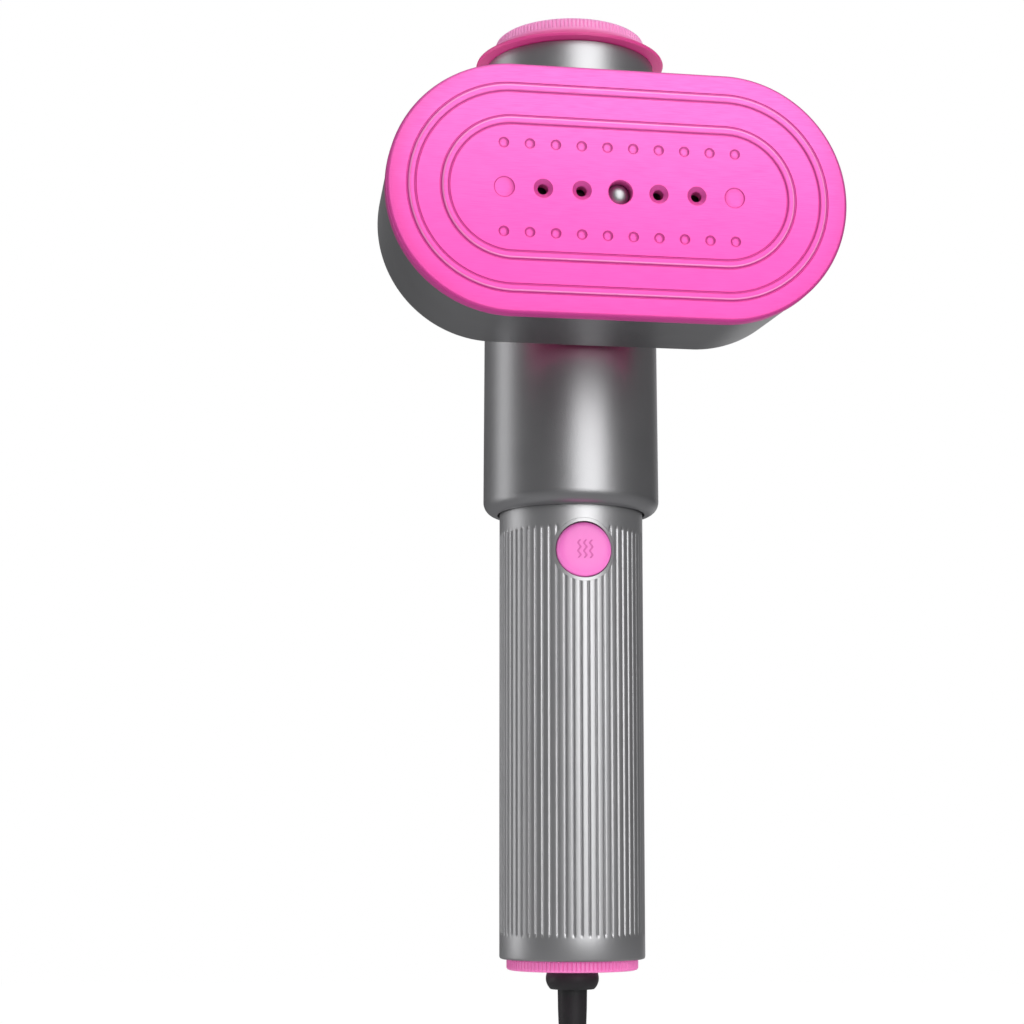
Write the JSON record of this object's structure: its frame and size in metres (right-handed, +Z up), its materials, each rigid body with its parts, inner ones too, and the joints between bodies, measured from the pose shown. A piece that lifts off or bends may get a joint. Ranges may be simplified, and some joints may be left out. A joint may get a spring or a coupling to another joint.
{
  "type": "handheld garment steamer",
  "caption": "Handheld garment steamer with a fluted grip, a water barrel, a screw cap, a wrapped display and a swivelling rounded steam head on a mains lead.",
  "frame": {"origin": "centre of the fluted grip, on the axis that the grip and the barrel share", "axes": "+Z up along the grip and barrel; -Y the way the soleplate and the steam button face; +Y the display and level slot"},
  "size_m": [0.131, 0.1054, 0.5125],
  "materials": {
    "grey_metal": "satin metallic paint",
    "grip_metal": "anodised satin, fluted",
    "pink_plate": "satin ceramic-style coat, fine brushed",
    "pink_plastic": "satin",
    "black_plastic": "satin",
    "smoked_lens": "gloss",
    "digit_light": "lit",
    "clear_window": "clear",
    "tank_plastic": "clear satin",
    "engineering_plastic": "natural",
    "circuit_board": "solder mask",
    "component": "moulded",
    "silicone": "matt",
    "cord_rubber": "matt",
    "strap_fabric": "woven hook and loop",
    "cast_alloy": "as cast",
    "steel": "plain",
    "pin_metal": "nickel plated"
  },
  "bodies": {
    "body": {"barrel_shell": "grey_metal", "level_window": "clear_window", "display_lens": "smoked_lens", "display_digits": "digit_light", "display_module": "component", "display_board": "circuit_board", "water_tank": "tank_plastic", "filler_neck": "tank_plastic", "grip_sleeve": "grip_metal", "grip_liner": "black_plastic", "barrel_collar": "black_plastic", "button_guide": "black_plastic", "control_board": "circuit_board", "button_switch": "component", "capacitor": "component", "relay": "component", "triac": "component", "terminal_block": "engineering_plastic", "water_pump": "engineering_plastic", "pump_bracket": "engineering_plastic", "suction_hose": "silicone", "pressure_hose": "silicone", "rotary_elbow": "engineering_plastic", "hub_saddle": "black_plastic", "hub_bush": "engineering_plastic", "end_ring": "pink_plastic"},
    "head": {"swivel_shaft": "steel", "shaft_clip": "steel", "hub_disc": "black_plastic", "rear_cover": "pink_plastic", "hub_plate": "steel", "hub_screws": "steel", "head_casing": "grey_metal", "soleplate": "pink_plate", "plate_gasket": "silicone", "steam_chamber": "cast_alloy", "heating_element": "steel", "heat_shield": "steel", "chamber_screws": "steel", "thermostat": "steel", "thermal_fuse": "steel", "steam_pipe": "steel"},
    "seal": {"cap_seal": "silicone"},
    "cap": {"tank_cap": "pink_plastic"},
    "button": {"steam_button": "pink_plastic"},
    "lead": {"cord_gland": "black_plastic", "strain_relief": "cord_rubber", "cord_run": "cord_rubber", "cord_coil": "cord_rubber", "cord_tail": "cord_rubber", "cord_strap": "strap_fabric", "plug_body": "black_plastic", "plug_pins": "pin_metal"}
  },
  "joints": [
    {"name": "head_swivel", "type": "hinge", "parent": "body", "child": "head", "pos_m": [0, -0.029, 0.1465], "axis": [0, -1, 0], "range_deg": [-90, 90]},
    {"name": "cap_lift", "type": "slide", "parent": "body", "child": "seal", "axis": [0, 0, 1], "range_m": [0, 0.006]},
    {"name": "cap_turn", "type": "hinge", "parent": "seal", "child": "cap", "pos_m": [0, 0, 0.2095], "axis": [0, 0, 1], "range_deg": [0, 720.01]},
    {"name": "button_press", "type": "slide", "parent": "body", "child": "button", "axis": [0, 1, 0], "range_m": [0, 0.0012], "stiffness_N_per_m": 900, "springref_m": -0.002},
    {"name": "cord_swivel", "type": "hinge", "parent": "body", "child": "lead", "pos_m": [0, 0, -0.071], "axis": [0, 0, 1], "continuous": true}
  ],
  "couplings": [
    {"joint": "cap_turn", "follows": "cap_lift", "rad_per_m": 2094.4}
  ]
}
